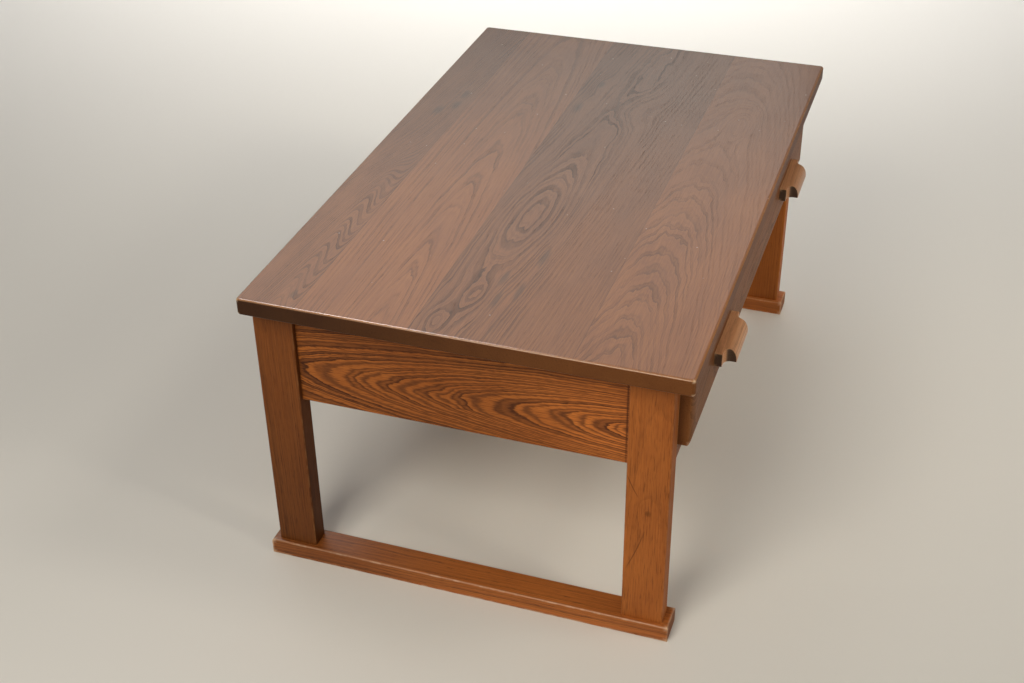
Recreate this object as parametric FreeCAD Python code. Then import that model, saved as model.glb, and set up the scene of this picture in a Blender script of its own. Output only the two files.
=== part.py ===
import FreeCAD, Part
import math
import os

from FreeCAD import Vector

# Low writing desk on sled feet, with one wide drawer. Sizes are in millimetres.
# X runs along the desk, -Y is the drawer side, Z is up from the floor.
# "left" is the -X end and "right" the +X end, as seen by someone sitting at the drawer.

# Top, glued up from four planks
desk_height = 340.0
top_length = 720.0
top_depth = 448.0
top_thickness = 18.0
top_edge_round = 2.5
top_corner_round = 4.0
rear_plank_width = 61.0
mid_rear_plank_width = 116.0
mid_front_plank_width = 159.0

# Legs and sled feet
foot_inset = 21.5
foot_width = 33.0
foot_height = 18.0
foot_overhang = 7.5
foot_round = 2.5
leg_thickness = 22.0
leg_width = 43.0
leg_round = 2.0
front_leg_setback = 22.5
foot_tenon_thickness = 9.0
foot_tenon_width = 27.0
foot_tenon_length = 12.0

# Aprons and the front rail under the drawer
apron_recess = 6.5
apron_height = 114.0
apron_round = 1.2
rail_height = 19.0
rail_depth = 34.0
rail_setback = 1.5
rail_tenon_width = 16.0
rail_tenon_height = 11.0
rail_tenon_setback = 5.0
tenon_thickness = 6.5
end_tenon_length = 15.0
cross_tenon_length = 12.0
tenon_shoulder = 12.0
mortise_end_gap = 1.0

# Strips that carry, guide and stop the drawer and hold the top
runner_width = 20.0
kicker_width = 20.0
kicker_height = 14.0
kicker_front_gap = 2.0
batten_width = 20.0
stop_width = 24.0
stop_height = 40.0
stop_spacing = 360.0

# Drawer
drawer_proud = 12.5
drawer_front_thickness = 22.0
drawer_end_clearance = 1.5
drawer_top_clearance = 1.5
drawer_bottom_clearance = 2.0
front_edge_round_width = 13.0
front_edge_round_depth = 4.0
side_lap_depth = 9.0
drawer_side_thickness = 10.0
drawer_back_thickness = 10.0
drawer_bottom_thickness = 5.0
bottom_groove_depth = 5.0
bottom_groove_lift = 9.0
kicker_clearance = 3.0
back_drop = 5.0
drawer_rear_gap = 12.0
running_clearance = 0.3

# Pulls
pull_spacing = 356.0
pull_length = 82.0
pull_height = 15.0
pull_projection = 20.0
pull_base_projection = 8.0
pull_grip_setback = 12.5
pull_cove_radius = 7.0
pull_nose_depth = 8.5
pull_nose_drop = 13.0
pull_drop = 44.0
pull_round = 0.8

# Fasteners
screw_diameter = 4.0
screw_head_diameter = 8.0
screw_head_height = 2.6
screw_bite = 12.0
runner_screw_bite = 10.0
screw_fit = 0.05
batten_screw_count = 4
runner_screw_count = 3
pull_screw_spacing = 44.0
peg_diameter = 3.0
peg_bite = 15.0
front_peg_count = 3
back_peg_count = 2
nail_diameter = 1.6
nail_head_diameter = 4.0
nail_head_height = 1.0
nail_bite = 16.0
nail_count = 5

# Smallest length that counts as one, for telling level edges from sloping ones
length_tolerance = 0.001

# An edge is sharp where the cosine of the turn from one of its faces to the other is under this
sharp_turn = 0.9

# How far a cut runs past the wood it takes away
waste_margin = 5.0

x_axis = Vector(1, 0, 0)
y_axis = Vector(0, 1, 0)
z_axis = Vector(0, 0, 1)
origin = Vector(0, 0, 0)

# Levels
underside = desk_height - top_thickness
apron_bottom = underside - apron_height
rail_top = apron_bottom + rail_height
kicker_bottom = underside - kicker_height

# Places along the desk, measured on the right-hand end
end_x = top_length / 2
foot_x = (end_x - foot_inset - foot_width, end_x - foot_inset)
leg_mid_x = sum(foot_x) / 2
leg_x = (leg_mid_x - leg_thickness / 2, leg_mid_x + leg_thickness / 2)
inner_x = leg_x[0]
apron_thickness = leg_thickness - apron_recess
apron_x = (inner_x, inner_x + apron_thickness)

# Places across the desk
rear_y = top_depth / 2
front_y = -rear_y
rear_leg_y = (rear_y - leg_width, rear_y)
leg_face_y = front_y + front_leg_setback
front_leg_y = (leg_face_y, leg_face_y + leg_width)
foot_y = (leg_face_y - foot_overhang, rear_y + foot_overhang)
rear_apron_y = (rear_y - apron_recess - apron_thickness, rear_y - apron_recess)
rail_y = (leg_face_y + rail_setback, leg_face_y + rail_setback + rail_depth)

# Drawer places
drawer_half = inner_x - drawer_end_clearance
drawer_face_y = leg_face_y - drawer_proud
front_back_y = drawer_face_y + drawer_front_thickness
front_z = (rail_top + drawer_bottom_clearance, underside - drawer_top_clearance)
side_z = (rail_top + running_clearance, kicker_bottom - kicker_clearance)
side_x = (drawer_half - drawer_side_thickness, drawer_half)
side_y = (front_back_y - side_lap_depth, rear_apron_y[0] - drawer_rear_gap)
back_y = (side_y[1] - drawer_back_thickness, side_y[1])
bottom_z = (side_z[0] + bottom_groove_lift, side_z[0] + bottom_groove_lift + drawer_bottom_thickness)
pull_z = (front_z[1] - pull_drop - pull_height, front_z[1] - pull_drop)
pull_nose_y = drawer_face_y - pull_projection

# The origin lies under the middle of the overall depth, from the pulls to the feet's rear ends
middle_y = (pull_nose_y + foot_y[1]) / 2

nodes = {}


def block(x_span, y_span, z_span):
    low = Vector(x_span[0], y_span[0], z_span[0])
    return Part.makeBox(x_span[1] - x_span[0], y_span[1] - y_span[0], z_span[1] - z_span[0], low)


def about(middle, size):
    return (middle - size / 2, middle + size / 2)


def even_steps(span, count):
    step = (span[1] - span[0]) / count
    return [span[0] + step * (index + 0.5) for index in range(count)]


def edges_along(shape, axis):
    found = []
    for edge in shape.Edges:
        run = edge.Vertexes[-1].Point - edge.Vertexes[0].Point
        if run.Length - abs(run.dot(axis)) < length_tolerance:
            found.append(edge)
    return found


def rounded(shape, radius, axes, z_at_least=None, z_at_most=None):
    edges = [edge for axis in axes for edge in edges_along(shape, axis)]
    if z_at_least is not None:
        edges = [edge for edge in edges if edge.BoundBox.ZMax >= z_at_least]
    if z_at_most is not None:
        edges = [edge for edge in edges if edge.BoundBox.ZMin <= z_at_most]
    return shape.makeFillet(radius, edges)


def is_sharp(shape, edge):
    middle = edge.valueAt((edge.FirstParameter + edge.LastParameter) / 2)
    faces = shape.ancestorsOfType(edge, Part.Face)
    first, second = [face.normalAt(*face.Surface.parameter(middle)) for face in faces]
    return first.dot(second) < sharp_turn


def mirrored(shape):
    return shape.mirror(origin, x_axis)


def both_ends(name, right_shape):
    nodes[name + "_right"] = right_shape
    nodes[name + "_left"] = mirrored(right_shape)


def quarter_round(start, corner, end):
    curve = Part.BezierCurve()
    curve.setPoles([start, corner, end])
    curve.setWeight(2, math.sqrt(0.5))
    return curve.toShape()


def prism(edges, run):
    wire = Part.Wire(Part.__sortEdges__(edges))
    return Part.Face(wire).extrude(run)


def screw(head, direction, length, extra=0.0):
    shank = Part.makeCylinder(screw_diameter / 2 + extra, length, head, direction)
    cone = Part.makeCone(
        screw_head_diameter / 2 + extra, screw_diameter / 2 + extra, screw_head_height, head, direction
    )
    return shank.fuse(cone).removeSplitter()


def nail(head, direction, length, extra=0.0):
    shank = Part.makeCylinder(nail_diameter / 2 + extra, length, head, direction)
    cap = Part.makeCylinder(nail_head_diameter / 2 + extra, nail_head_height, head, direction)
    return shank.fuse(cap).removeSplitter()


def peg(head, direction, length, extra=0.0):
    return Part.makeCylinder(peg_diameter / 2 + extra, length, head, direction)


def fasten(name, maker, places, receivers):
    # Each place is a head point, a direction and a length; every receiver is drilled for all of them
    nodes[name] = Part.makeCompound([maker(*place) for place in places])
    drill = Part.makeCompound([maker(*place, screw_fit) for place in places])
    for receiver in receivers:
        nodes[receiver] = nodes[receiver].cut(drill)


# Top planks, cut from one rounded board so that their faces and edges run on
plank_names = ["top_plank_rear", "top_plank_mid_rear", "top_plank_mid_front", "top_plank_front"]
seams = [rear_y]
for width in (rear_plank_width, mid_rear_plank_width, mid_front_plank_width):
    seams.append(seams[-1] - width)
seams.append(front_y)
top_board = block((-end_x, end_x), (front_y, rear_y), (underside, desk_height))
top_board = rounded(top_board, top_corner_round, [z_axis])
top_rims = [edge for edge in top_board.Edges if edge.BoundBox.ZLength < length_tolerance]
top_board = top_board.makeFillet(top_edge_round, top_rims)
for name, high, low in zip(plank_names, seams[:-1], seams[1:]):
    slab = block((-end_x, end_x), (low, high), (underside, desk_height))
    nodes[name] = top_board.common(slab)

# Tenons on the aprons and the rail, also used to cut the mortises
end_tenon_z = (rail_top + tenon_shoulder, underside - tenon_shoulder)
end_tenon_x = about(sum(apron_x) / 2, tenon_thickness)
cross_tenon_y = about(sum(rear_apron_y) / 2, tenon_thickness)
rail_tenon_y = (rail_y[0] + rail_tenon_setback, rail_y[0] + rail_tenon_setback + rail_tenon_width)
rail_tenon_z = about(apron_bottom + rail_height / 2, rail_tenon_height)


def end_tenon(shoulder_y, direction, length):
    y_span = sorted((shoulder_y, shoulder_y + direction * length))
    return block(end_tenon_x, y_span, end_tenon_z)


def cross_tenon(y_span, z_span, length):
    return block((inner_x, inner_x + length), y_span, z_span)


def foot_tenon(leg_y, length):
    x_span = about(leg_mid_x, foot_tenon_thickness)
    y_span = about(sum(leg_y) / 2, foot_tenon_width)
    return block(x_span, y_span, (foot_height - length, foot_height))


# Legs
def leg(leg_y):
    post = rounded(block(leg_x, leg_y, (foot_height, underside)), leg_round, [z_axis])
    return post.fuse(foot_tenon(leg_y, foot_tenon_length)).removeSplitter()


end_mortise = end_tenon_length + mortise_end_gap
cross_mortise = cross_tenon_length + mortise_end_gap
rear_leg = leg(rear_leg_y).cut(end_tenon(rear_leg_y[0], 1, end_mortise))
rear_leg = rear_leg.cut(cross_tenon(cross_tenon_y, end_tenon_z, cross_mortise))
both_ends("leg_rear", rear_leg)
front_leg = leg(front_leg_y).cut(end_tenon(front_leg_y[1], -1, end_mortise))
front_leg = front_leg.cut(cross_tenon(rail_tenon_y, rail_tenon_z, cross_mortise))
both_ends("leg_front", front_leg)

# Sled feet
foot = rounded(block(foot_x, foot_y, (0, foot_height)), foot_round, [x_axis, y_axis], z_at_least=foot_height)
for leg_y in (rear_leg_y, front_leg_y):
    foot = foot.cut(foot_tenon(leg_y, foot_tenon_length + mortise_end_gap))
both_ends("foot", foot)

# Aprons and front rail
end_apron = block(apron_x, (front_leg_y[1], rear_leg_y[0]), (apron_bottom, underside))
end_apron = rounded(end_apron, apron_round, [y_axis], z_at_most=apron_bottom)
end_apron = end_apron.fuse(end_tenon(rear_leg_y[0], 1, end_tenon_length))
end_apron = end_apron.fuse(end_tenon(front_leg_y[1], -1, end_tenon_length))
both_ends("end_apron", end_apron.removeSplitter())

rear_apron = block((-inner_x, inner_x), rear_apron_y, (apron_bottom, underside))
rear_apron = rounded(rear_apron, apron_round, [x_axis], z_at_most=apron_bottom)
rear_tenon = cross_tenon(cross_tenon_y, end_tenon_z, cross_tenon_length)
nodes["rear_apron"] = rear_apron.fuse(rear_tenon).fuse(mirrored(rear_tenon)).removeSplitter()

front_rail = block((-inner_x, inner_x), rail_y, (apron_bottom, rail_top))
front_rail = rounded(front_rail, apron_round, [x_axis], z_at_most=apron_bottom)
rail_tenon = cross_tenon(rail_tenon_y, rail_tenon_z, cross_tenon_length)
nodes["front_rail"] = front_rail.fuse(rail_tenon).fuse(mirrored(rail_tenon)).removeSplitter()

# Runners under the drawer's sides, kickers above them and a batten along the rear apron
runner_x = (inner_x - runner_width, inner_x)
runner_y = (rail_y[1], rear_apron_y[0])
both_ends("drawer_runner", block(runner_x, runner_y, (apron_bottom, rail_top)))

kicker_x = (inner_x - kicker_width, inner_x)
kicker_y = (front_back_y + kicker_front_gap, rear_apron_y[0])
both_ends("kicker", block(kicker_x, kicker_y, (kicker_bottom, underside)))

batten_x = (-kicker_x[0], kicker_x[0])
batten_y = (rear_apron_y[0] - batten_width, rear_apron_y[0])
nodes["rear_batten"] = block(batten_x, batten_y, (kicker_bottom, underside))

# Stop blocks on the rear apron, which the closed drawer's back comes up to
stop_y = (back_y[1] + running_clearance, rear_apron_y[0])
back_z = (bottom_z[1], side_z[1] - back_drop)
stop_x = about(stop_spacing / 2, stop_width)
stop_z = about(sum(back_z) / 2, stop_height)
both_ends("stop_block", block(stop_x, stop_y, stop_z))

# Drawer front: a board whose face falls away softly at all four edges
round_start_y = drawer_face_y + front_edge_round_depth
waste_y = drawer_face_y - waste_margin


def edge_waste(edge, inward, place, run):
    # What is cut away along one edge; place turns a position across the edge and a depth into a point
    face_start = edge + inward * front_edge_round_width
    outside = edge - inward * waste_margin
    start = place(face_start, drawer_face_y)
    end = place(edge, round_start_y)
    loop = [start, place(face_start, waste_y), place(outside, waste_y), place(outside, round_start_y), end]
    edges = [Part.makeLine(first, second) for first, second in zip(loop[:-1], loop[1:])]
    edges.append(quarter_round(end, place(edge, drawer_face_y), start))
    return prism(edges, run)


def end_place(x, y):
    return Vector(x, y, front_z[0] - waste_margin)


def long_place(z, y):
    return Vector(-drawer_half - waste_margin, y, z)


end_run = z_axis * (front_z[1] - front_z[0] + 2 * waste_margin)
long_run = x_axis * (2 * drawer_half + 2 * waste_margin)
drawer_front = block((-drawer_half, drawer_half), (drawer_face_y, front_back_y), front_z)
for inward, end_edge, long_edge in ((1, -drawer_half, front_z[0]), (-1, drawer_half, front_z[1])):
    drawer_front = drawer_front.cut(edge_waste(end_edge, inward, end_place, end_run))
    drawer_front = drawer_front.cut(edge_waste(long_edge, inward, long_place, long_run))

# Drawer box: sides lapped into the front, back between the sides, bottom in grooves
drawer_side = block(side_x, side_y, side_z)
side_house = block(side_x, side_y, front_z)
drawer_back = block((-side_x[0], side_x[0]), back_y, back_z)
groove_half = side_x[0] + bottom_groove_depth
bottom_y = (front_back_y - bottom_groove_depth, back_y[1])
drawer_bottom = block((-groove_half, groove_half), bottom_y, bottom_z)
nodes["drawer_front"] = drawer_front.cut(side_house).cut(mirrored(side_house)).cut(drawer_bottom)
both_ends("drawer_side", drawer_side.cut(drawer_bottom))
nodes["drawer_back"] = drawer_back
nodes["drawer_bottom"] = drawer_bottom

# Pulls: a base strip along the drawer front and a shorter grip with coved ends and a rounded nose,
# all rims eased apart from those against the drawer front
pull_base_y = drawer_face_y - pull_base_projection
grip_half = pull_length / 2 - pull_grip_setback
cove_middle = Vector(grip_half + pull_cove_radius, pull_base_y - pull_cove_radius, 0)
cove_reach = pull_cove_radius * math.sqrt(0.5)


def pull_plan():
    corners = [
        (pull_length / 2, drawer_face_y),
        (pull_length / 2, pull_base_y),
        (grip_half + pull_cove_radius, pull_base_y),
        (grip_half, pull_base_y - pull_cove_radius),
        (grip_half, pull_nose_y),
    ]
    edges = []
    for side in (-1, 1):
        points = [Vector(side * x, y, pull_z[0]) for x, y in corners]
        edges += [Part.makeLine(points[i], points[i + 1]) for i in (0, 1, 3)]
        cove = cove_middle + Vector(-cove_reach, cove_reach, pull_z[0])
        edges.append(Part.Arc(points[2], Vector(side * cove.x, cove.y, cove.z), points[3]).toShape())
    for x, y in (corners[0], corners[-1]):
        edges.append(Part.makeLine(Vector(-x, y, pull_z[0]), Vector(x, y, pull_z[0])))
    return edges


def pull_section():
    nose_top = Vector(-pull_length / 2, pull_nose_y + pull_nose_depth, pull_z[1])
    nose_corner = Vector(-pull_length / 2, pull_nose_y, pull_z[1])
    nose_face = nose_corner - z_axis * pull_nose_drop
    nose_foot = Vector(-pull_length / 2, pull_nose_y, pull_z[0])
    back_foot = Vector(-pull_length / 2, drawer_face_y, pull_z[0])
    back_top = Vector(-pull_length / 2, drawer_face_y, pull_z[1])
    loop = [nose_face, nose_foot, back_foot, back_top, nose_top]
    edges = [Part.makeLine(start, end) for start, end in zip(loop[:-1], loop[1:])]
    edges.append(quarter_round(nose_top, nose_corner, nose_face))
    return edges


pull = prism(pull_plan(), z_axis * pull_height).common(prism(pull_section(), x_axis * pull_length))
pull = pull.removeSplitter().Solids[0]
free_edges = [edge for edge in pull.Edges if edge.BoundBox.YMin < drawer_face_y - length_tolerance]
pull = pull.makeFillet(pull_round, [edge for edge in free_edges if is_sharp(pull, edge)])
both_ends("pull", pull.translated(x_axis * (pull_spacing / 2)))

# Screws up through the kickers and the batten into every plank they cross
top_screw_length = kicker_height + screw_bite
top_places = []
for high, low in zip(seams[:-1], seams[1:]):
    plank_middle = (max(low, kicker_y[0]) + min(high, kicker_y[1])) / 2
    for side in (-1, 1):
        head = Vector(side * sum(kicker_x) / 2, plank_middle, kicker_bottom)
        top_places.append((head, z_axis, top_screw_length))
for x in even_steps(batten_x, batten_screw_count):
    head = Vector(x, sum(batten_y) / 2, kicker_bottom)
    top_places.append((head, z_axis, top_screw_length))
fasten("top_screws", screw, top_places, plank_names + ["kicker_left", "kicker_right", "rear_batten"])

# Screws through the runners into the end aprons
runner_places = []
for y in even_steps((front_leg_y[1], rear_leg_y[0]), runner_screw_count):
    for side in (-1, 1):
        head = Vector(side * runner_x[0], y, apron_bottom + rail_height / 2)
        runner_places.append((head, x_axis * side, runner_width + runner_screw_bite))
runner_receivers = ["drawer_runner_left", "drawer_runner_right", "end_apron_left", "end_apron_right"]
fasten("runner_screws", screw, runner_places, runner_receivers)

# Screws from inside the drawer front into the pulls
pull_places = []
for side in (-1, 1):
    for x in about(side * pull_spacing / 2, pull_screw_spacing):
        head = Vector(x, front_back_y, sum(pull_z) / 2)
        pull_places.append((head, -y_axis, drawer_front_thickness + screw_bite))
fasten("pull_screws", screw, pull_places, ["drawer_front", "pull_left", "pull_right"])

# Wooden pegs through the drawer's sides into its front and back
peg_length = drawer_side_thickness + peg_bite
peg_rows = [
    (front_back_y - side_lap_depth / 2, even_steps((bottom_z[1], side_z[1]), front_peg_count)),
    (sum(back_y) / 2, even_steps(back_z, back_peg_count)),
]
peg_places = []
for y, heights in peg_rows:
    for z in heights:
        for side in (-1, 1):
            peg_places.append((Vector(side * drawer_half, y, z), x_axis * -side, peg_length))
peg_receivers = ["drawer_side_left", "drawer_side_right", "drawer_front", "drawer_back"]
fasten("drawer_pegs", peg, peg_places, peg_receivers)

# Nails up through the drawer bottom into the back
nail_places = []
for x in even_steps((-side_x[0], side_x[0]), nail_count):
    head = Vector(x, sum(back_y) / 2, bottom_z[0])
    nail_places.append((head, z_axis, drawer_bottom_thickness + nail_bite))
fasten("bottom_nails", nail, nail_places, ["drawer_bottom", "drawer_back"])

os.makedirs("parts", exist_ok=True)
for name, shape in nodes.items():
    placed = shape.translated(y_axis * -middle_y)
    placed.exportStep(os.path.join("parts", name + ".step"))
    print(name, "solids:", len(placed.Solids))
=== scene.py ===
import math

import bpy
from mathutils import Matrix, Vector


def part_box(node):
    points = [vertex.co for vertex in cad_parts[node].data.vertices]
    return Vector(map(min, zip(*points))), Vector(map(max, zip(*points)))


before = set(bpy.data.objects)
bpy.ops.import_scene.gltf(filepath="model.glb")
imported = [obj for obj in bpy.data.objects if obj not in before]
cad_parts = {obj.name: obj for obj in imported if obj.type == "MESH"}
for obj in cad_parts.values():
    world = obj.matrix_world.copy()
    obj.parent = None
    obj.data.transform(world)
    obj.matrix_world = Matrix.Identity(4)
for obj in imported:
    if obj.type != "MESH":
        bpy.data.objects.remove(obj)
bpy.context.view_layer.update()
millimetres = 1000.0  # grain is laid out in millimetres
print("desk loaded:", len(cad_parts), "pieces of the frame and drawer")


# Short ways to wire one node tree
class Sheet:
    columnWidth = 190
    rowHeight = 170
    rows = 6

    def __init__(self, tree):
        self.tree = tree
        self.count = 0

    def add(self, kind, settings=None, wires=None):
        node = self.tree.nodes.new(kind)
        column, row = divmod(self.count, self.rows)
        node.location = (self.columnWidth * column, -self.rowHeight * row)  # spread out for reading
        self.count += 1
        for name, value in (settings or {}).items():
            setattr(node, name, value)
        for name, value in (wires or {}).items():
            self.wire(node.inputs[name], value)
        return node

    def wire(self, socket, value):
        if isinstance(value, bpy.types.NodeSocket):
            self.tree.links.new(value, socket)
        else:
            socket.default_value = value

    def place(self, group, wires):
        return self.add("ShaderNodeGroup", {"node_tree": group}, wires).outputs

    def split(self, vector):
        return self.add("ShaderNodeSeparateXYZ", None, {0: vector}).outputs

    def scale(self, vector, factor):
        wires = {0: vector, "Scale": factor}
        return self.add("ShaderNodeVectorMath", {"operation": "SCALE"}, wires).outputs[0]

    def calc(self, operation, *values):
        node = self.add("ShaderNodeMath", {"operation": operation})
        for socket, value in zip(node.inputs, values):
            self.wire(socket, value)
        return node.outputs[0]

    def total(self, *values):
        result = values[0]
        for value in values[1:]:
            result = self.calc("ADD", result, value)
        return result

    def product(self, *values):
        result = values[0]
        for value in values[1:]:
            result = self.calc("MULTIPLY", result, value)
        return result

    def minus(self, value, taken):
        return self.calc("SUBTRACT", value, taken)

    def flip(self, value):
        return self.minus(1.0, value)

    def length(self, first, second):
        return self.calc("SQRT", self.total(self.product(first, first), self.product(second, second)))

    def ease(self, value, low, high):  # 0 below low, 1 above high, smooth between
        node = self.add("ShaderNodeMapRange", {"interpolation_type": "SMOOTHSTEP"})
        for index, entry in enumerate((value, low, high)):
            self.wire(node.inputs[index], entry)
        return node.outputs[0]

    def hump(self, value, rise, fall):  # up over the rise, down again over the fall
        return self.product(self.ease(value, *rise), self.flip(self.ease(value, *fall)))

    def between(self, value, low, high):  # 0..1 to low..high
        return self.add("ShaderNodeMapRange", {"clamp": False}, {0: value, 3: low, 4: high}).outputs[0]

    def mixColour(self, share, first, second):
        return self.add("ShaderNodeMix", {"data_type": "RGBA"}, {0: share, 6: first, 7: second}).outputs[2]

    def streak(self, axes, size, seed, detail=1.0, rough=0.5):  # noise drawn out along the grain
        along, across, depth = axes
        longSize, wideSize = size
        spread = self.add("ShaderNodeCombineXYZ", None, {
            0: self.calc("DIVIDE", along, longSize),
            1: self.total(self.calc("DIVIDE", across, wideSize), seed),
            2: self.calc("DIVIDE", depth, wideSize),
        })
        noise = self.add("ShaderNodeTexNoise", {"noise_dimensions": "3D"}, {
            "Vector": spread.outputs[0], "Scale": 1.0, "Detail": detail, "Roughness": rough,
        })
        return noise.outputs["Fac"]

    def swing(self, axes, size, seed, detail):  # the same, to both sides of zero
        return self.minus(self.streak(axes, size, seed, detail), 0.5)

    def cloud(self, spot, seed, scale, detail):  # noise with no direction
        return self.add("ShaderNodeTexNoise", {"noise_dimensions": "4D"}, {
            "Vector": spot, "W": seed, "Scale": scale, "Detail": detail,
        }).outputs["Fac"]


def startGroup(name, inputs, outputs):
    tree = bpy.data.node_groups.new(name, "ShaderNodeTree")
    for label, value in inputs.items():
        kind = "NodeSocketVector" if isinstance(value, tuple) else "NodeSocketFloat"
        socket = tree.interface.new_socket(label, in_out="INPUT", socket_type=kind)
        socket.default_value = value
    for label in outputs:
        tree.interface.new_socket(label, in_out="OUTPUT", socket_type="NodeSocketFloat")
    sheet = Sheet(tree)
    given = sheet.add("NodeGroupInput").outputs
    wanted = sheet.add("NodeGroupOutput").inputs
    return tree, sheet, given, wanted


# Growth rings of a log cut by the board: lengths in millimetres, Along runs with the grain
ringForm = {
    "slow": (190.0, 46.0), "quick": (42.0, 11.0), "jag": (7.0, 1.3), "patch": (85.0, 16.0),  # streak sizes
    "slowShare": 3.0, "quickShare": 1.2, "jagShare": 0.15,
    "yearStep": 0.4, "yearSwing": 0.9,  # fat and lean years
    "patchSeed": 7.0, "patchEase": (0.32, 0.62),
    "bandRise": (0.0, 0.06), "bandFall": (0.30, 0.52),  # places within one ring
    "outerRise": (0.0, 0.05), "outerFall": (0.08, 0.18),
    "innerRise": (0.28, 0.35), "innerFall": (0.38, 0.48), "innerShare": 0.6,
    "linesInRing": 3.0, "lineRise": (0.0, 0.3), "lineFall": (0.3, 0.8),
}


def makeGrowthRings():
    tree, sheet, given, wanted = startGroup(
        "growthRings",
        {
            "Along": 0.0, "Across": 0.0, "Depth": 0.0, "Heart Across": 0.0, "Heart Depth": 30.0,
            "Lean": 0.0, "Skew": 0.0, "Swell": 0.0, "Shift": 0.0, "Ring Gap": 4.0, "Waver": 4.0,
            "Least": 0.32, "Faintest": 0.5, "Seed": 0.0,
        },
        ["Ring", "Edge", "Line"],
    )
    axes = (given["Along"], given["Across"], given["Depth"])
    slow = sheet.swing(axes, ringForm["slow"], given["Seed"], 2.0)
    quick = sheet.swing(axes, ringForm["quick"], given["Seed"], 2.0)
    jag = sheet.swing(axes, ringForm["jag"], given["Seed"], 1.0)
    side = sheet.minus(given["Across"], given["Heart Across"])
    side = sheet.minus(side, sheet.product(given["Skew"], given["Along"]))
    side = sheet.minus(side, given["Shift"])
    side = sheet.total(side, sheet.product(slow, given["Waver"], ringForm["slowShare"]))
    down = sheet.total(given["Heart Depth"], sheet.product(given["Lean"], given["Along"]))
    down = sheet.total(down, given["Swell"], given["Depth"])
    down = sheet.total(down, sheet.product(quick, given["Waver"], ringForm["quickShare"]))
    age = sheet.calc("DIVIDE", sheet.length(side, down), given["Ring Gap"])
    years = sheet.add("ShaderNodeTexNoise", {"noise_dimensions": "1D"}, {
        "W": sheet.total(sheet.product(age, ringForm["yearStep"]), given["Seed"]), "Scale": 1.0,
    })
    growth = sheet.between(years.outputs["Fac"], -ringForm["yearSwing"], ringForm["yearSwing"])
    age = sheet.total(age, growth, sheet.product(jag, ringForm["jagShare"]))
    strength = sheet.add("ShaderNodeTexWhiteNoise", {"noise_dimensions": "1D"}, {
        "W": sheet.total(sheet.calc("FLOOR", age), given["Seed"]),
    })
    patch = sheet.streak(axes, ringForm["patch"], sheet.total(given["Seed"], ringForm["patchSeed"]), 2.0)
    patch = sheet.between(sheet.ease(patch, *ringForm["patchEase"]), given["Least"], 1.0)
    weight = sheet.product(sheet.between(strength.outputs["Value"], given["Faintest"], 1.0), patch)
    within = sheet.calc("FRACT", age)
    band = sheet.hump(within, ringForm["bandRise"], ringForm["bandFall"])
    outer = sheet.hump(within, ringForm["outerRise"], ringForm["outerFall"])
    inner = sheet.hump(within, ringForm["innerRise"], ringForm["innerFall"])
    edge = sheet.calc("MAXIMUM", outer, sheet.product(inner, ringForm["innerShare"]))
    thin = sheet.calc("FRACT", sheet.product(age, ringForm["linesInRing"]))
    sheet.wire(wanted["Ring"], sheet.product(band, weight))
    sheet.wire(wanted["Edge"], sheet.product(edge, weight))
    sheet.wire(wanted["Line"], sheet.hump(thin, ringForm["lineRise"], ringForm["lineFall"]))
    return tree


# A place where the heart comes nearer to the face, which closes the rings into an eye
def makeHeartEye():
    tree, sheet, given, wanted = startGroup(
        "heartEye",
        {
            "Along": 0.0, "Across": 0.0, "At Along": 0.0, "At Across": 0.0,
            "Long": 50.0, "Wide": 20.0, "Rise": 0.0,
        },
        ["Swell"],
    )
    far = []
    for name, size in (("Along", "Long"), ("Across", "Wide")):
        gap = sheet.calc("DIVIDE", sheet.minus(given[name], given["At " + name]), given[size])
        far.append(sheet.product(gap, gap))
    fade = sheet.calc("EXPONENT", sheet.product(sheet.total(*far), -1.0))
    sheet.wire(wanted["Swell"], sheet.product(fade, given["Rise"]))
    return tree


# A fold in the rings along one line of a board: a row of flames that dies out between From and To
def makeFlameFold():
    tree, sheet, given, wanted = startGroup(
        "flameFold",
        {
            "Along": 0.0, "Across": 0.0, "At Across": 0.0, "Half": 12.0, "Size": 0.0,
            "From": 0.0, "To": 100.0,
        },
        ["Shift"],
    )
    off = sheet.calc("DIVIDE", sheet.minus(given["Across"], given["At Across"]), given["Half"])
    fold = sheet.ease(off, -1.0, 1.0)
    lasting = sheet.flip(sheet.ease(given["Along"], given["From"], given["To"]))
    sheet.wire(wanted["Shift"], sheet.product(fold, lasting, given["Size"]))
    return tree


# A hair-thin dark line from one place on a face to another, bowed a little and thinner at its ends: used for
# cracks and for a painted shadow line in a joint
def makeHairCrack():
    tree, sheet, given, wanted = startGroup(
        "hairCrack",
        {
            "Along": 0.0, "Across": 0.0, "From Along": 0.0, "From Across": 0.0,
            "To Along": 1.0, "To Across": 1.0, "Bow": 0.0, "Width": 0.5,
        },
        ["Crack"],
    )
    runs = []
    offs = []
    for name in ("Along", "Across"):
        runs.append(sheet.minus(given["To " + name], given["From " + name]))
        offs.append(sheet.minus(given[name], given["From " + name]))
    squared = sheet.total(sheet.product(runs[0], runs[0]), sheet.product(runs[1], runs[1]))
    part = sheet.total(sheet.product(offs[0], runs[0]), sheet.product(offs[1], runs[1]))
    part = sheet.calc("DIVIDE", part, squared)
    part = sheet.calc("MINIMUM", sheet.calc("MAXIMUM", part, 0.0), 1.0)
    swell = sheet.product(part, sheet.flip(part), 4.0)  # 1 in the middle, 0 at both ends
    gapAlong = sheet.minus(offs[0], sheet.product(part, runs[0]))
    gapAcross = sheet.minus(offs[1], sheet.product(part, runs[1]))
    gapAcross = sheet.minus(gapAcross, sheet.product(swell, given["Bow"]))
    gap = sheet.length(gapAlong, gapAcross)
    sheet.wire(wanted["Crack"], sheet.product(sheet.flip(sheet.ease(gap, 0.0, given["Width"])), swell))
    return tree


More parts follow.
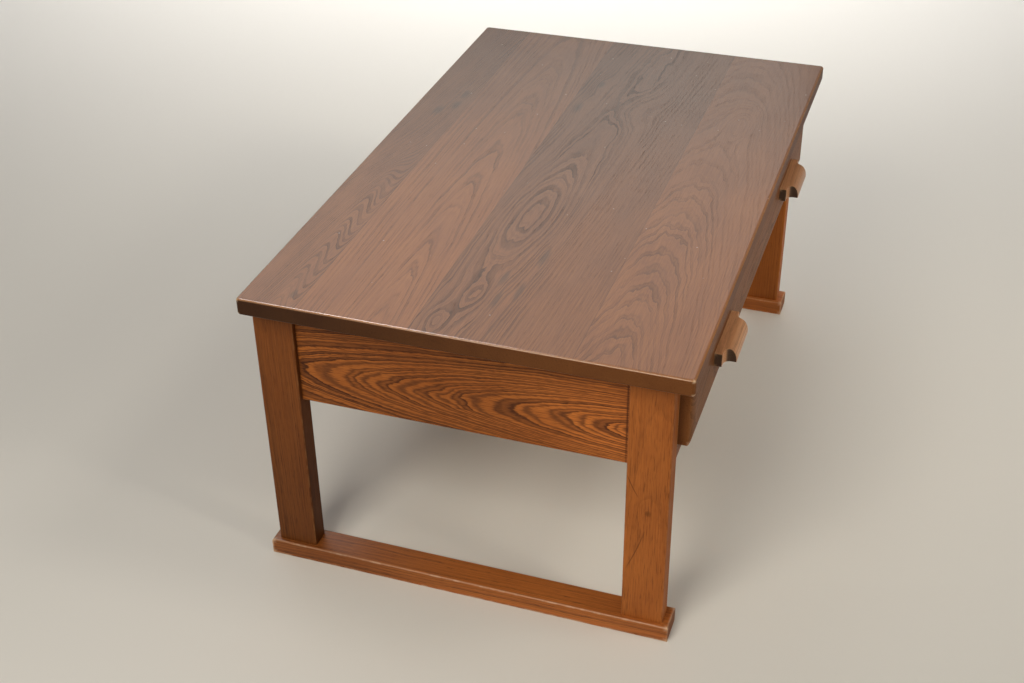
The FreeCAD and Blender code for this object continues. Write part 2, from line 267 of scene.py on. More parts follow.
# Open pores, coarser veins and fine fibre, all drawn out along the grain
fibreForm = {
    "pore": (13.0, 0.8), "poreEase": (0.54, 0.70),
    "vein": (20.0, 1.25), "veinEase": (0.54, 0.68),
    "fibre": (60.0, 1.1), "fibreRough": 0.6, "blotch": (120.0, 48.0),
}


def makeFibre():
    tree, sheet, given, wanted = startGroup(
        "fibre", {"Along": 0.0, "Across": 0.0, "Depth": 0.0, "Seed": 0.0},
        ["Pore", "Vein", "Fibre", "Blotch"],
    )
    axes = (given["Along"], given["Across"], given["Depth"])
    pore = sheet.streak(axes, fibreForm["pore"], given["Seed"], 1.5)
    vein = sheet.streak(axes, fibreForm["vein"], given["Seed"], 2.0)
    fine = sheet.streak(axes, fibreForm["fibre"], given["Seed"], 3.0, fibreForm["fibreRough"])
    sheet.wire(wanted["Pore"], sheet.ease(pore, *fibreForm["poreEase"]))
    sheet.wire(wanted["Vein"], sheet.ease(vein, *fibreForm["veinEase"]))
    sheet.wire(wanted["Fibre"], fine)
    sheet.wire(wanted["Blotch"], sheet.streak(axes, fibreForm["blotch"], given["Seed"], 2.0))
    return tree


# Masks where two faces of a block meet, for wear and for the painted arris highlight and corner glint: Low
# and High are its corners in millimetres
edgeForm = {
    "patchScale": 0.09, "patchDetail": 4.0, "patchEase": (0.40, 0.66),
    "cornerReach": 2.5, "arrisEase": (0.3, 2.6),
}


def makeEdgeMarks():
    tree, sheet, given, wanted = startGroup(
        "edgeMarks",
        {
            "Spot": (0.0, 0.0, 0.0), "Low": (0.0, 0.0, 0.0), "High": (0.0, 0.0, 0.0),
            "Width": 2.0, "Seed": 0.0,
        },
        ["Wear", "Corner", "Arris"],
    )
    spot, low, high = [sheet.split(given[name]) for name in ("Spot", "Low", "High")]
    gaps = []
    for axis in range(3):
        below = sheet.minus(spot[axis], low[axis])
        above = sheet.minus(high[axis], spot[axis])
        gaps.append(sheet.calc("MINIMUM", below, above))
    least = sheet.calc("MINIMUM", sheet.calc("MINIMUM", gaps[0], gaps[1]), gaps[2])
    most = sheet.calc("MAXIMUM", sheet.calc("MAXIMUM", gaps[0], gaps[1]), gaps[2])
    middle = sheet.minus(sheet.minus(sheet.total(*gaps), least), most)  # small near an edge
    patchy = sheet.cloud(given["Spot"], given["Seed"], edgeForm["patchScale"], edgeForm["patchDetail"])
    patchy = sheet.ease(patchy, *edgeForm["patchEase"])
    cornerReach = sheet.product(given["Width"], edgeForm["cornerReach"])
    sheet.wire(wanted["Wear"], sheet.product(sheet.flip(sheet.ease(middle, 0.0, given["Width"])), patchy))
    sheet.wire(wanted["Corner"], sheet.flip(sheet.ease(most, 0.0, cornerReach)))
    sheet.wire(wanted["Arris"], sheet.flip(sheet.ease(middle, *edgeForm["arrisEase"])))
    return tree


# Dust specks, fingered haze and the slow unevenness of a hand-rubbed finish
handlingForm = {
    "hazeScale": 0.02, "hazeDetail": 5.0, "swayScale": 0.012, "swayDetail": 1.0,
    "speckScale": 0.045, "speckEase": (0.022, 0.045),
}


def makeHandling():
    tree, sheet, given, wanted = startGroup(
        "handling", {"Spot": (0.0, 0.0, 0.0), "Seed": 0.0}, ["Haze", "Speck", "Sway"]
    )
    for label, kind in (("Haze", "haze"), ("Sway", "sway")):
        scale = handlingForm[kind + "Scale"]
        detail = handlingForm[kind + "Detail"]
        sheet.wire(wanted[label], sheet.cloud(given["Spot"], given["Seed"], scale, detail))
    dots = sheet.add("ShaderNodeTexVoronoi", {"voronoi_dimensions": "3D", "feature": "F1"}, {
        "Vector": given["Spot"], "Scale": handlingForm["speckScale"],
    })
    speck = sheet.flip(sheet.ease(dots.outputs["Distance"], *handlingForm["speckEase"]))
    sheet.wire(wanted["Speck"], speck)
    return tree


growthRings = makeGrowthRings()
heartEye = makeHeartEye()
flameFold = makeFlameFold()
hairCrack = makeHairCrack()
fibreGroup = makeFibre()
edgeMarks = makeEdgeMarks()
handling = makeHandling()
print("grain, wear and handling groups made")

# Stain colours shared by the outside of the desk
stain = {
    "light": (0.45, 0.142, 0.029, 1.0),
    "mid": (0.32, 0.091, 0.017, 1.0),
    "band": (0.155, 0.048, 0.013, 1.0),
    "dark": (0.060, 0.018, 0.006, 1.0),
    # worn colours rubbed edges, and is also the painted arris highlight
    "wornAndHighlight": (0.56, 0.29, 0.12, 1.0),
    # corner colours worn corners, and is also a painted glint
    "corner": (0.88, 0.64, 0.42, 1.0),
}
bareWood = {
    "light": (0.56, 0.39, 0.22, 1.0),
    "mid": (0.48, 0.31, 0.165, 1.0),
    "band": (0.33, 0.19, 0.09, 1.0),
    "dark": (0.24, 0.135, 0.065, 1.0),
    "wornAndHighlight": (0.60, 0.45, 0.28, 1.0),
    "corner": (0.64, 0.48, 0.30, 1.0),
}

# What a board looks like where its own dictionary says nothing else
plainBoard = {
    "tones": stain, "shade": 1.0, "endShade": 0.55, "sideShade": 1.0, "endTone": None, "darkEnd": None,
    "skew": 0.0, "waver": 4.0, "least": 0.32, "faintest": 0.5,
    "eyes": [], "flames": None, "calm": [], "smudges": [], "cracksAndShadowLines": [], "glue": [],
    "ringShow": 0.85, "edgeShow": 0.7, "lineShow": 0.2, "poreShow": 0.5, "veinShow": 0.0,
    "gloss": 0.42, "shine": 0.22, "coat": 0.06, "rubbedAndHighlit": -0.1,
    "wear": 0.35, "cornerWearAndGlintShow": 0.4, "edgeWidth": 1.6, "paintedArrisHighlight": 0.0, "specks": 0.0, "together": None,
}

# How every board takes stain, polish and light
woodForm = {
    "fibreShare": 0.55, "blotchShare": 0.45, "toneEase": (0.30, 0.70),
    "endEase": (0.55, 0.9), "endRings": 0.15,  # rings hardly show on the stained end grain
    "polishEase": (0.25, 0.7),  # the shown face is rubbed up, sides are not
    "poreOutsideRings": 0.35, "darkLineShow": 0.9,
    "smudgeFibre": 0.9, "smudgeRings": 0.3, "smudgeEase": (0.75, 1.35),
    "glueEase": (0.15, 0.75), "glueShow": 0.25,
    "dust": (0.55, 0.47, 0.40, 1.0),
    "hazeSwing": 0.07, "poreRough": 0.12, "endRough": 0.1, "sideRough": 0.12,
    "poreHeight": -0.6, "ringHeight": -0.35, "swayHeight": 5.0, "fibreHeight": 0.25,
    "bumpStrength": 0.35, "bumpDistance": 0.00035,
    "coatRough": 0.2, "poreUncoated": 0.5, "ringUncoated": 0.35,
}


def setMaterial(piece, material):
    if not piece.material_slots:
        piece.data.materials.append(material)
    for slot in piece.material_slots:
        slot.material = material


def startMaterial(name):
    material = bpy.data.materials.new(name)
    material.use_nodes = True
    material.node_tree.nodes.clear()
    sheet = Sheet(material.node_tree)
    where = sheet.add("ShaderNodeTexCoord").outputs
    return material, sheet, where, sheet.scale(where["Object"], millimetres)


def endMaterial(sheet, finish):
    output = sheet.add("ShaderNodeOutputMaterial")
    sheet.wire(output.inputs["Surface"], finish.outputs[0])


def readAxis(sheet, coords, way):
    value = coords["xyz".index(way[-1])]
    return sheet.product(value, -1.0) if way[0] == "-" else value


def faceLevel(node, way):  # how far out the shown face lies
    low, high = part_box(node)
    axis = "xyz".index(way[-1])
    return (-low[axis] if way[0] == "-" else high[axis]) * millimetres


def boxOf(nodes):
    corners = [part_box(name) for name in nodes]
    low = [min(pair[0][axis] for pair in corners) * millimetres for axis in range(3)]
    high = [max(pair[1][axis] for pair in corners) * millimetres for axis in range(3)]
    return tuple(low), tuple(high)


def placeEye(sheet, board, spot, size, rise):
    return sheet.place(heartEye, {
        "Along": board["along"], "Across": board["across"], "At Along": spot[0], "At Across": spot[1],
        "Long": size[0], "Wide": size[1], "Rise": rise,
    })[0]


def placeRings(sheet, board, look):
    swells = [0.0]
    for atAlong, atAcross, longSize, wideSize, rise in look["eyes"]:
        swells.append(placeEye(sheet, board, (atAlong, atAcross), (longSize, wideSize), rise))
    shift = 0.0
    if look["flames"]:
        atAcross, half, size, fadeFrom, fadeTo = look["flames"]
        shift = sheet.place(flameFold, {
            "Along": board["along"], "Across": board["across"], "At Across": atAcross, "Half": half,
            "Size": size, "From": fadeFrom, "To": fadeTo,
        })[0]
    heartAcross, heartDepth = look["heart"]
    return sheet.place(growthRings, {
        "Along": board["along"], "Across": board["across"], "Depth": board["depth"],
        "Heart Across": heartAcross, "Heart Depth": heartDepth, "Lean": look["lean"], "Skew": look["skew"],
        "Swell": sheet.total(*swells), "Shift": shift, "Ring Gap": look["ringGap"], "Waver": look["waver"],
        "Least": look["least"], "Faintest": look["faintest"], "Seed": look["seed"],
    })


# Everything that a board's colour, shade and gloss are made from
def readBoard(sheet, where, spot, node, look):
    coords = sheet.split(spot)
    normal = sheet.split(where["Normal"])
    face = look["face"]
    board = {
        "coords": coords,
        "along": readAxis(sheet, coords, look["along"]),
        "across": readAxis(sheet, coords, look["across"]),
        "depth": sheet.minus(readAxis(sheet, coords, face), faceLevel(node, face)),
    }
    board["rings"] = placeRings(sheet, board, look)
    board["fibre"] = sheet.place(fibreGroup, {
        "Along": board["along"], "Across": board["across"], "Depth": board["depth"], "Seed": look["seed"],
    })
    low, high = boxOf(look["together"] or [node])
    board["edges"] = sheet.place(edgeMarks, {
        "Spot": spot, "Low": low, "High": high, "Width": look["edgeWidth"], "Seed": look["seed"],
    })
    board["used"] = sheet.place(handling, {"Spot": spot, "Seed": look["seed"]})
    level = sheet.calc("ABSOLUTE", readAxis(sheet, normal, look["along"]))
    board["endGrain"] = sheet.ease(level, *woodForm["endEase"])
    board["polish"] = sheet.ease(readAxis(sheet, normal, face), *woodForm["polishEase"])
    ringed = sheet.between(board["rings"]["Ring"], woodForm["poreOutsideRings"], 1.0)
    board["pores"] = sheet.product(board["fibre"]["Pore"], ringed)
    return board


def grainColour(sheet, board, look):
    tones = look["tones"]
    rings, fibre = board["rings"], board["fibre"]
    fine = sheet.product(fibre["Fibre"], woodForm["fibreShare"])
    broad = sheet.product(fibre["Blotch"], woodForm["blotchShare"])
    mixed = sheet.total(fine, broad)
    colour = sheet.mixColour(sheet.ease(mixed, *woodForm["toneEase"]), tones["light"], tones["mid"])
    longGrain = sheet.between(board["endGrain"], 1.0, woodForm["endRings"])
    for way, bold, calm, least in look["calm"]:  # the figure calms down from one place to another
        fade = sheet.ease(readAxis(sheet, board["coords"], way), bold, calm)
        longGrain = sheet.product(longGrain, sheet.between(fade, 1.0, least))
    lines = sheet.product(rings["Line"], look["lineShow"], longGrain)
    bands = sheet.product(rings["Ring"], look["ringShow"], longGrain)
    edges = sheet.product(rings["Edge"], look["edgeShow"], longGrain)
    pores = sheet.product(board["pores"], look["poreShow"])
    veins = sheet.product(fibre["Vein"], look["veinShow"], longGrain)
    for share, tone in ((lines, "band"), (bands, "band"), (edges, "dark"), (pores, "dark"), (veins, "dark")):
        colour = sheet.mixColour(share, colour, tones[tone])
    for start, stop, bow, width in look["cracksAndShadowLines"]:  # start and stop are places along and across the grain
        darkLine = sheet.place(hairCrack, {
            "Along": board["along"], "Across": board["across"], "Bow": bow, "Width": width,
            "From Along": start[0], "From Across": start[1], "To Along": stop[0], "To Across": stop[1],
        })[0]
        colour = sheet.mixColour(sheet.product(darkLine, woodForm["darkLineShow"]), colour, tones["dark"])
    return colour


def stainAndPaintedShade(sheet, board, look):
    endGrain, polish = board["endGrain"], board["polish"]
    endTone = look["shade"] * look["endShade"]
    if look["endTone"]:
        start, stop, first, last = look["endTone"]  # end grain lightens across the board, from start to stop: its dark stain, with painted shade deepening toward the start
        endTone = sheet.between(sheet.ease(board["across"], start, stop), first, last)
    shade = sheet.between(endGrain, look["shade"], endTone)
    # painted shade: faces other than the shown face are drawn darker by sideShade
    shade = sheet.product(shade, sheet.between(polish, look["sideShade"], 1.0))
    for atAlong, atAcross, longSize, wideSize, darkness in look["smudges"]:  # dark patches beside knots
        patch = placeEye(sheet, board, (atAlong, atAcross), (longSize, wideSize), 1.0)
        fibred = sheet.product(board["fibre"]["Fibre"], woodForm["smudgeFibre"])
        ringed = sheet.product(board["rings"]["Ring"], woodForm["smudgeRings"])
        ragged = sheet.ease(sheet.total(patch, fibred, ringed), *woodForm["smudgeEase"])
        shade = sheet.product(shade, sheet.flip(sheet.product(ragged, patch, polish, darkness)))
    if look["darkEnd"]:
        start, stop, least = look["darkEnd"]  # the board is drawn darker from start to stop along the grain: painted shade where light falls off, on the top, the left apron and the left foot
        darkening = sheet.between(sheet.ease(board["along"], start, stop), 1.0, least)
        shade = sheet.product(shade, sheet.between(endGrain, darkening, 1.0))
    for seam in look["glue"]:  # a faint dark line where two planks are glued
        off = sheet.calc("ABSOLUTE", sheet.minus(board["across"], seam))
        line = sheet.flip(sheet.ease(off, *woodForm["glueEase"]))
        shade = sheet.product(shade, sheet.flip(sheet.product(line, polish, woodForm["glueShow"])))
    return shade


def wearAndHighlightColour(sheet, board, look, colour):
    tones = look["tones"]
    edges = board["edges"]
    # painted highlight: a pale line along the upper arris of the shown face, mixed with real edge wear
    paintedHighlight = sheet.product(edges["Arris"], board["polish"], look["paintedArrisHighlight"])
    rubbedAndHighlit = sheet.calc("MAXIMUM", sheet.product(edges["Wear"], look["wear"]), paintedHighlight)
    colour = sheet.mixColour(rubbedAndHighlit, colour, tones["wornAndHighlight"])
    # corners are drawn pale: worn corners, and a painted glint on the top's corners
    colour = sheet.mixColour(sheet.product(edges["Corner"], look["cornerWearAndGlintShow"]), colour, tones["corner"])
    if look["specks"]:
        dusty = sheet.product(board["used"]["Speck"], look["specks"], board["polish"])
        colour = sheet.mixColour(dusty, colour, woodForm["dust"])
    return colour


def boardRoughness(sheet, board, look):
    low, high = look["gloss"] - woodForm["hazeSwing"], look["gloss"] + woodForm["hazeSwing"]
    return sheet.total(
        sheet.between(board["used"]["Haze"], low, high),
        sheet.product(board["pores"], woodForm["poreRough"]),
        sheet.product(board["endGrain"], woodForm["endRough"]),
        sheet.product(board["edges"]["Arris"], look["rubbedAndHighlit"]),
        sheet.between(board["polish"], woodForm["sideRough"], 0.0),
    )


def boardBump(sheet, board):
    height = sheet.total(
        sheet.product(board["pores"], woodForm["poreHeight"]),
        sheet.product(board["rings"]["Ring"], woodForm["ringHeight"]),
        sheet.product(board["used"]["Sway"], woodForm["swayHeight"]),
        sheet.product(board["fibre"]["Fibre"], woodForm["fibreHeight"]),
    )
    return sheet.add("ShaderNodeBump", None, {
        "Height": height, "Strength": woodForm["bumpStrength"], "Distance": woodForm["bumpDistance"],
    }).outputs[0]


def boardCoat(sheet, board, look):  # open grain breaks the coat on the shown face
    openPores = sheet.product(board["pores"], woodForm["poreUncoated"])
    openRings = sheet.product(board["rings"]["Ring"], look["ringShow"], woodForm["ringUncoated"])
    return sheet.product(board["polish"], sheet.flip(sheet.total(openPores, openRings)), look["coat"])


def dressBoard(node, changes):
    look = {**plainBoard, **changes}
    material, sheet, where, spot = startMaterial(node + "_wood")
    board = readBoard(sheet, where, spot, node, look)
    colour = sheet.scale(grainColour(sheet, board, look), stainAndPaintedShade(sheet, board, look))
    finish = sheet.add("ShaderNodeBsdfPrincipled", None, {
        "Base Color": wearAndHighlightColour(sheet, board, look, colour),
        "Roughness": boardRoughness(sheet, board, look),
        "Normal": boardBump(sheet, board),
        "Specular IOR Level": look["shine"],
        "Coat Roughness": woodForm["coatRough"],
    })
    if look["coat"]:
        sheet.wire(finish.inputs["Coat Weight"], boardCoat(sheet, board, look))
    endMaterial(sheet, finish)
    setMaterial(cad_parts[node], material)


# Top: four planks, grain along the desk
topNodes = ["top_plank_rear", "top_plank_mid_rear", "top_plank_mid_front", "top_plank_front"]
topLook = {
    "tones": {**stain, "light": (0.45, 0.153, 0.032, 1.0), "mid": (0.32, 0.099, 0.019, 1.0)},
    "along": "x", "across": "y", "face": "z", "together": topNodes,
    "glue": [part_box(node)[0].y * millimetres for node in topNodes[:-1]],
    "ringShow": 0.5, "edgeShow": 0.4, "lineShow": 0.12, "poreShow": 0.42,
    "gloss": 0.38, "shine": 0.2, "coat": 0.8, "specks": 0.5,
    # painted highlight along the upper arris and a painted glint on the corners
    "wear": 0.32, "cornerWearAndGlintShow": 1.0, "rubbedAndHighlit": -0.16, "paintedArrisHighlight": 0.42,
    # painted shade: the planks are drawn darker toward the far end, the end grain darker toward the rear and
    # the sides darker than the face
    "sideShade": 0.62, "darkEnd": (-220.0, 330.0, 0.48), "endTone": (232.0, -215.0, 0.19, 0.66),
}
rearPlank = {
    **topLook, "seed": 3.1, "heart": (-300.0, 20.0), "lean": 0.0, "skew": -0.1, "ringGap": 2.2, "waver": 0.8,
    "flames": (177.5, 13.0, 23.6, -130.0, 70.0), "ringShow": 0.7, "edgeShow": 0.4, "shade": 0.71,
    "smudges": [
        (94.0, 193.0, 18.0, 7.0, 0.5), (114.0, 177.0, 16.0, 6.0, 0.5), (146.0, 177.0, 18.0, 6.0, 0.5),
        (-335.0, 175.0, 12.0, 4.0, 0.4),
    ],
}
midRearPlank = {
    **topLook, "seed": 8.4, "heart": (92.0, 34.0), "lean": 0.055, "skew": 0.03, "ringGap": 3.8, "waver": 2.2,
    "ringShow": 0.32, "edgeShow": 0.34, "shade": 0.87,
}
midFrontPlank = {
    **topLook, "seed": 5.7, "heart": (-4.3, 55.0), "lean": 0.006, "skew": -0.08,
    "ringGap": 3.3, "waver": 3.4,
    "eyes": [
        (-116.0, 5.0, 105.0, 45.0, -15.8), (-285.0, 9.0, 30.0, 13.0, -7.0), (-338.0, 30.0, 26.0, 13.0, -7.0),
        (158.0, 35.0, 30.0, 12.0, -8.0), (222.0, 28.0, 22.0, 10.0, -7.0), (160.0, -38.0, 46.0, 26.0, 10.0),
    ],
    "smudges": [
        (-198.0, -33.0, 26.0, 6.0, 0.45), (-286.0, -13.0, 22.0, 5.0, 0.4), (-265.0, -29.0, 24.0, 4.0, 0.45),
        (-246.0, -8.0, 20.0, 5.0, 0.35), (150.0, 36.0, 20.0, 7.0, 0.45), (222.0, 27.0, 14.0, 6.0, 0.45),
    ],
    "calm": [("-y", 34.0, 56.0, 0.4)], "ringShow": 0.75, "edgeShow": 0.4, "lineShow": 0.2,
    # painted shade: darker toward the far end
    "shade": 0.66, "darkEnd": (-300.0, 330.0, 0.46),
}
frontPlank = {
    **topLook, "seed": 12.9, "heart": (-142.0, 85.0), "lean": 0.1, "skew": 0.0, "ringGap": 3.0, "waver": 3.6,
    "eyes": [(163.0, -159.0, 44.0, 16.0, -15.0)],
    "calm": [("x", -120.0, 10.0, 0.55), ("-y", 168.0, 200.0, 0.45)],
    # painted shade: darker toward the far end
    "ringShow": 0.4, "edgeShow": 0.42, "poreShow": 0.26, "shade": 0.74, "darkEnd": (-220.0, 330.0, 0.56),
}
for node, look in zip(topNodes, (rearPlank, midRearPlank, midFrontPlank, frontPlank)):
    dressBoard(node, look)
print("top dressed")

# Aprons and rail: bold arches, which point to the rear on the left end
leftApron = {
    "along": "y", "across": "z", "face": "-x", "seed": 2.3, "heart": (247.0, 35.0), "lean": 0.1,
    "ringGap": 4.3, "waver": 2.4, "least": 0.75, "faintest": 0.3,
    "ringShow": 1.0, "edgeShow": 1.0, "lineShow": 0.95, "poreShow": 0.9, "veinShow": 0.5,
    # painted shade: the apron is drawn darker toward its rear end
    "gloss": 0.46, "shine": 0.13, "coat": 0.02, "shade": 1.5, "darkEnd": (-150.0, 0.0, 0.655),
    "cracksAndShadowLines": [((-154.8, 345.0), (-154.8, 185.0), 0.0, 1.8)],  # painted shadow line in the corner with the front leg
}
rightApron = {
    **leftApron, "face": "x", "seed": 6.6, "heart": (266.0, 42.0), "lean": -0.085,
    "darkEnd": None, "shade": 0.85,
}
rearApron = {
    **leftApron, "along": "x", "face": "y", "seed": 9.2, "heart": (258.0, 40.0), "lean": 0.06,
    "eyes": [(-150.0, 258.0, 60.0, 18.0, -12.0)], "darkEnd": None, "shade": 0.85, "cracksAndShadowLines": [],
}
frontRail = {
    **leftApron, "along": "x", "face": "-y", "seed": 4.4, "heart": (170.0, 30.0), "lean": 0.01,
    "ringGap": 3.0, "darkEnd": None, "shade": 0.85, "cracksAndShadowLines": [],
}
dressBoard("end_apron_left", leftApron)
dressBoard("end_apron_right", rightApron)
dressBoard("rear_apron", rearApron)
dressBoard("front_rail", frontRail)
print("aprons and rail dressed")

# Legs: straight quiet grain, with a small knot and two cracks on the near front one
legLook = {
    "along": "z", "across": "y", "lean": 0.03, "ringGap": 3.4, "waver": 3.0,
    "ringShow": 0.24, "edgeShow": 0.16, "lineShow": 0.1, "poreShow": 0.45,
    "gloss": 0.44, "shine": 0.13, "coat": 0.03,
}
frontLeftLeg = {
    **legLook, "face": "-x", "seed": 1.7, "heart": (-186.0, 70.0),
    "ringGap": 4.6, "waver": 2.0, "least": 0.6, "shade": 1.05,
    "ringShow": 0.1, "edgeShow": 0.12, "lineShow": 0.05, "veinShow": 0.4,
    "eyes": [(156.5, -178.5, 13.0, 7.0, -9.0)],
    "smudges": [(157.0, -180.0, 5.0, 4.0, 0.45)],
    "cracksAndShadowLines": [((202.0, -157.5), (174.0, -170.5), 0.8, 1.0), ((135.0, -178.0), (80.0, -159.5), -1.2, 1.0)],
}
rearLeftLeg = {
    **legLook, "face": "-x", "seed": 7.9, "heart": (262.0, 22.0), "ringShow": 0.45, "veinShow": 0.3,
    # darker toward the bottom; the sides are drawn darker as painted shade
    "shade": 0.57, "sideShade": 0.68, "darkEnd": (290.0, 30.0, 0.68),
}
frontRightLeg = {**legLook, "face": "x", "seed": 11.3, "heart": (-246.0, 30.0)}
rearRightLeg = {**legLook, "face": "x", "seed": 14.8, "heart": (150.0, 24.0), "shade": 0.95}
dressBoard("leg_front_left", frontLeftLeg)
dressBoard("leg_rear_left", rearLeftLeg)
dressBoard("leg_front_right", frontRightLeg)
dressBoard("leg_rear_right", rearRightLeg)

# Feet: scuffed along their rims, with a painted pale highlight along the upper arris
footLook = {
    "tones": {**stain, "wornAndHighlight": (0.62, 0.42, 0.27, 1.0)},
    "along": "y", "across": "x", "face": "z", "lean": 0.015, "ringGap": 3.2, "waver": 3.0,
    "ringShow": 0.5, "edgeShow": 0.3, "lineShow": 0.15, "poreShow": 0.5,
    "gloss": 0.42, "shine": 0.28, "coat": 0.1, "wear": 0.8, "edgeWidth": 2.4, "paintedArrisHighlight": 0.3,
}
leftFoot = {
    **footLook, "seed": 10.2, "heart": (-368.0, 28.0), "lineShow": 0.4, "poreShow": 0.8,
    # painted shade: the foot is drawn darker toward its rear end
    "shade": 1.14, "darkEnd": (-40.0, 210.0, 0.66),
}
rightFoot = {**footLook, "seed": 15.5, "heart": (372.0, 28.0), "shade": 1.12}
dressBoard("foot_left", leftFoot)
dressBoard("foot_right", rightFoot)
print("legs and feet dressed")

# Drawer front, greyer than the frame: the grey is partly a painted sheen, and its own gloss is kept low
drawerFront = {
    "tones": {**stain, "light": (0.42, 0.165, 0.055, 1.0), "mid": (0.31, 0.115, 0.036, 1.0)},
    "along": "x", "across": "z", "face": "-y", "seed": 13.6, "heart": (252.0, 36.0),
    "lean": -0.05, "ringGap": 4.2, "waver": 3.2, "ringShow": 0.5, "edgeShow": 0.4,
    "eyes": [(-40.0, 262.0, 80.0, 20.0, -12.0)],
    "wear": 0.3, "edgeWidth": 2.4, "shade": 0.62, "endShade": 0.95, "shine": 0.05, "coat": 0.0,
}
dressBoard("drawer_front", drawerFront)

# Pulls: paler wood with dark end grain
pullTones = {
    "light": (0.72, 0.365, 0.178, 1.0),
    "mid": (0.59, 0.280, 0.128, 1.0),
    "band": (0.25, 0.090, 0.032, 1.0),
    "dark": (0.10, 0.038, 0.016, 1.0),
    "wornAndHighlight": (0.66, 0.38, 0.20, 1.0),
    "corner": (0.70, 0.44, 0.25, 1.0),
}
pullLook = {
    "tones": pullTones, "along": "x", "across": "z", "face": "-y",
    "lean": 0.02, "ringGap": 2.4, "waver": 2.0,
    "ringShow": 0.3, "edgeShow": 0.3, "lineShow": 0.15, "poreShow": 0.3,
    "endShade": 0.14, "gloss": 0.36, "shine": 0.4, "rubbedAndHighlit": -0.05,
}
dressBoard("pull_left", {**pullLook, "seed": 16.1, "heart": (240.0, 20.0)})
# the far pull is drawn darker than the near one: painted shade
dressBoard("pull_right", {**pullLook, "seed": 17.4, "heart": (300.0, 20.0), "shade": 0.74})
print("drawer front and pulls dressed")

# Inside: bare softwood. Each board has its grain's way, the way across it, its shown face and its heart
insideLook = {
    "tones": bareWood, "lean": 0.01, "ringGap": 5.0,
    "ringShow": 0.55, "edgeShow": 0.3, "lineShow": 0.1, "poreShow": 0.15,
    "gloss": 0.6, "coat": 0.0, "wear": 0.2, "endShade": 0.8,
}
insideSeeds = {"first": 20.0, "step": 1.7}
insideBoards = {
    "drawer_side_left": ("y", "z", "-x", (230.0, 40.0)),
    "drawer_side_right": ("y", "z", "x", (320.0, 40.0)),
    "drawer_back": ("x", "z", "y", (250.0, 40.0)),
    "drawer_bottom": ("x", "y", "z", (-40.0, 50.0)),
    "drawer_runner_left": ("y", "x", "z", (-340.0, 30.0)),
    "drawer_runner_right": ("y", "x", "z", (340.0, 30.0)),
    "kicker_left": ("y", "x", "-z", (-330.0, 30.0)),
    "kicker_right": ("y", "x", "-z", (330.0, 30.0)),
    "rear_batten": ("x", "y", "-z", (230.0, 30.0)),
    "stop_block_left": ("z", "x", "-y", (-220.0, 20.0)),
    "stop_block_right": ("z", "x", "-y", (220.0, 20.0)),
    "drawer_pegs": ("x", "y", "z", (60.0, 60.0)),
}
for index, (node, (along, across, face, heart)) in enumerate(insideBoards.items()):
    seed = insideSeeds["first"] + insideSeeds["step"] * index
    dressBoard(node, {
        **insideLook, "along": along, "across": across, "face": face, "heart": heart, "seed": seed,
    })

# Screws and nails: dull steel
screwLook = {
    "dull": (0.34, 0.33, 0.31, 1.0), "bright": (0.52, 0.50, 0.47, 1.0),
    "roughness": (0.32, 0.5), "seed": 31.0,
    "nodes": ["top_screws", "runner_screws", "pull_screws", "bottom_nails"],
}


def makeScrewSteel():
    material, sheet, where, spot = startMaterial("screwSteel")
    haze = sheet.place(handling, {"Spot": spot, "Seed": screwLook["seed"]})["Haze"]
    finish = sheet.add("ShaderNodeBsdfPrincipled", None, {
        "Base Color": sheet.mixColour(haze, screwLook["dull"], screwLook["bright"]),
        "Roughness": sheet.between(haze, *screwLook["roughness"]),
        "Metallic": 1.0,
    })
    endMaterial(sheet, finish)
    return material


screwSteel = makeScrewSteel()
for node in screwLook["nodes"]:
    setMaterial(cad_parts[node], screwSteel)
print("inside and fasteners dressed")

# Studio: pale floor, soft light
studio = {
    "floorColour": (0.78, 0.765, 0.735, 1.0), "floorRoughness": 0.7, "floorSize": 14.0, "floorDrop": 0.0005,
    "sky": (1.0, 0.98, 0.95, 1.0), "skyStrength": 0.2,
}


def makeFloor():
    half = studio["floorSize"] / 2
    corners = [(-half, -half, 0.0), (half, -half, 0.0), (half, half, 0.0), (-half, half, 0.0)]
    mesh = bpy.data.meshes.new("floor")
    mesh.from_pydata(corners, [], [(0, 1, 2, 3)])
    material = bpy.data.materials.new("paleFloor")
    material.use_nodes = True
    finish = material.node_tree.nodes["Principled BSDF"]
    finish.inputs["Base Color"].default_value = studio["floorColour"]
    finish.inputs["Roughness"].default_value = studio["floorRoughness"]
    mesh.materials.append(material)
    floor = bpy.data.objects.new("floor", mesh)
    floor.location.z = -studio["floorDrop"]
    bpy.context.scene.collection.objects.link(floor)


def makeSky():
    world = bpy.data.worlds.new("studio")
    bpy.context.scene.world = world
    world.use_nodes = True
    backdrop = world.node_tree.nodes["Background"]
    backdrop.inputs["Color"].default_value = studio["sky"]
    backdrop.inputs["Strength"].default_value = studio["skyStrength"]


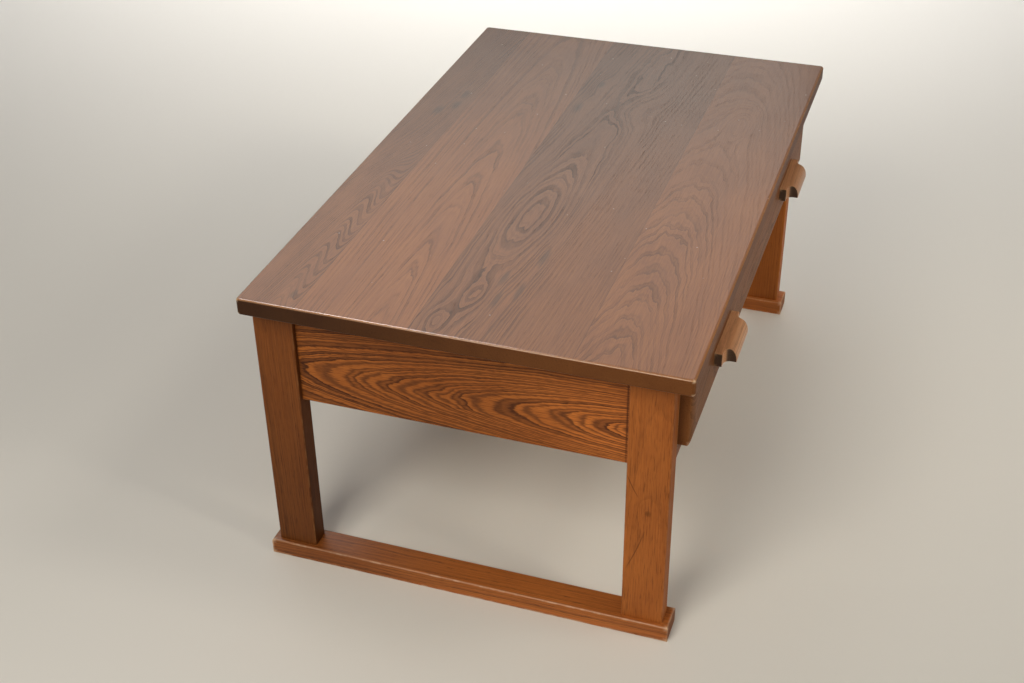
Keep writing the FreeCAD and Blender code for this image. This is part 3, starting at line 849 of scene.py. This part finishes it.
# Cards show only as sheen on the finish, softboxes light the desk as well
softboxes = {
    "cameraSoftbox": {
        "place": (-1.65, 0.3, 1.55), "target": (-0.2, 0.0, 0.25), "size": (0.8, 0.8),
        "power": 21.0, "colour": (1.0, 0.93, 0.80),
    },
    "ceilingCard": {
        "place": (0.3, 1.0, 2.5), "target": (-0.3, 0.1, 0.3), "size": (0.8, 0.8),
        "power": 52.0, "colour": (1.0, 0.95, 0.93), "onlyMirrored": True,
    },
    "rightSoftbox": {
        "place": (0.0, -1.6, 2.5), "target": (0.0, -0.15, 0.25), "size": (0.5, 0.5),
        "power": 9.0, "colour": (1.0, 0.92, 0.78),
    },
    "drawerSoftbox": {
        "place": (-0.7, -2.0, 1.7), "target": (0.33, -0.2, 0.15), "size": (0.5, 0.5),
        "power": 1.25, "colour": (1.0, 0.92, 0.78), "spread": 42.0,
    },
    "farCard": {
        "place": (2.4, 1.35, 2.2), "target": (0.0, 0.0, 0.3), "size": (3.2, 1.8),
        "power": 23.0, "colour": (1.0, 0.96, 0.88), "onlyMirrored": True,
    },
    "floorSoftbox": {
        "place": (2.1, 0.7, 3.2), "target": (2.1, 0.7, 0.0), "size": (1.6, 2.2),
        "power": 26.0, "colour": (1.0, 0.98, 0.95), "spread": 58.0,
    },
}


def addSoftbox(name, place, target, size, power, colour, onlyMirrored=False, spread=180.0):
    light = bpy.data.lights.new(name, "AREA")
    light.shape = "RECTANGLE"
    light.size, light.size_y = size
    light.energy = power
    light.color = colour
    light.spread = math.radians(spread)
    lamp = bpy.data.objects.new(name, light)
    lamp.location = place
    lamp.rotation_euler = (Vector(target) - Vector(place)).to_track_quat("-Z", "Y").to_euler()
    lamp.visible_camera = False
    lamp.visible_diffuse = not onlyMirrored
    bpy.context.scene.collection.objects.link(lamp)


makeFloor()
makeSky()
for name, softbox in softboxes.items():
    addSoftbox(name, **softbox)

# Camera where the photograph was taken from
photoView = {
    "place": (-1.39452, -0.41426, 1.07834), "heading": 19.198, "tilt": -33.701, "roll": -0.828,
    "lens": 51.604, "sensor": 36.0,
}
cameraData = bpy.data.cameras.new("photoCamera")
cameraData.sensor_fit = "HORIZONTAL"
cameraData.sensor_width = photoView["sensor"]
cameraData.lens = photoView["lens"]
camera = bpy.data.objects.new("photoCamera", cameraData)
turn = Matrix.Rotation(math.radians(photoView["heading"] - 90.0), 4, "Z")
lift = Matrix.Rotation(math.radians(90.0 + photoView["tilt"]), 4, "X")
roll = Matrix.Rotation(math.radians(photoView["roll"]), 4, "Z")
camera.matrix_world = Matrix.Translation(photoView["place"]) @ turn @ lift @ roll
bpy.context.scene.collection.objects.link(camera)
bpy.context.scene.camera = camera
bpy.context.scene.view_settings.view_transform = "Standard"
print("studio and camera ready")

bpy.context.view_layer.update()
